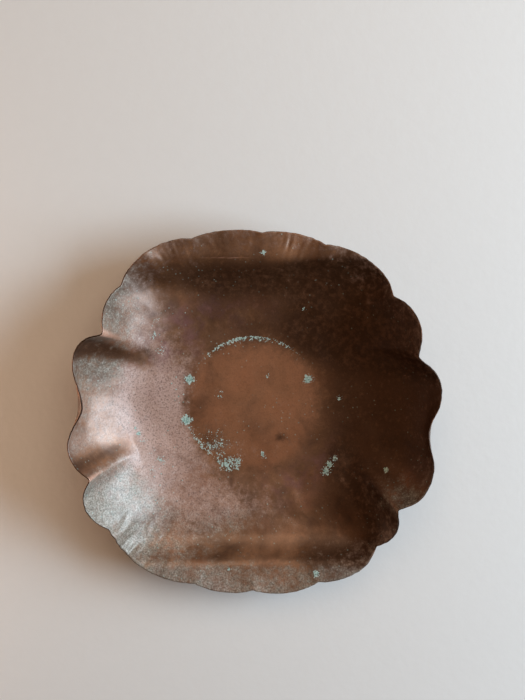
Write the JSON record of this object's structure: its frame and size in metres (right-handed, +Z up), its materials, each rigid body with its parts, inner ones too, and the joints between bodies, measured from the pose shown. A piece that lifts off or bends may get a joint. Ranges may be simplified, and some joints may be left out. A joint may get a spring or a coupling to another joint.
{
  "type": "hammered copper bowl",
  "caption": "Shallow hammered copper bowl with a scalloped fluted rim, two raised ears, folded flanges and a soldered foot ring.",
  "frame": {"origin": "centre of the bounding box in plan, on the plane of the foot ring's underside", "axes": "+Z up out of the mouth, +X across the raised ears, +Y towards the flange with the broader steep band"},
  "size_m": [0.2911, 0.2966, 0.0677],
  "materials": {
    "raised_copper": "hammered copper, dark brown patina with verdigris",
    "foot_copper": "copper strip, dark brown patina",
    "soft_solder": "dull grey soft solder"
  },
  "bodies": {
    "root": {"bowl_body": "raised_copper", "foot_ring": "foot_copper", "foot_solder": "soft_solder", "seam_solder": "soft_solder"}
  },
  "joints": []
}
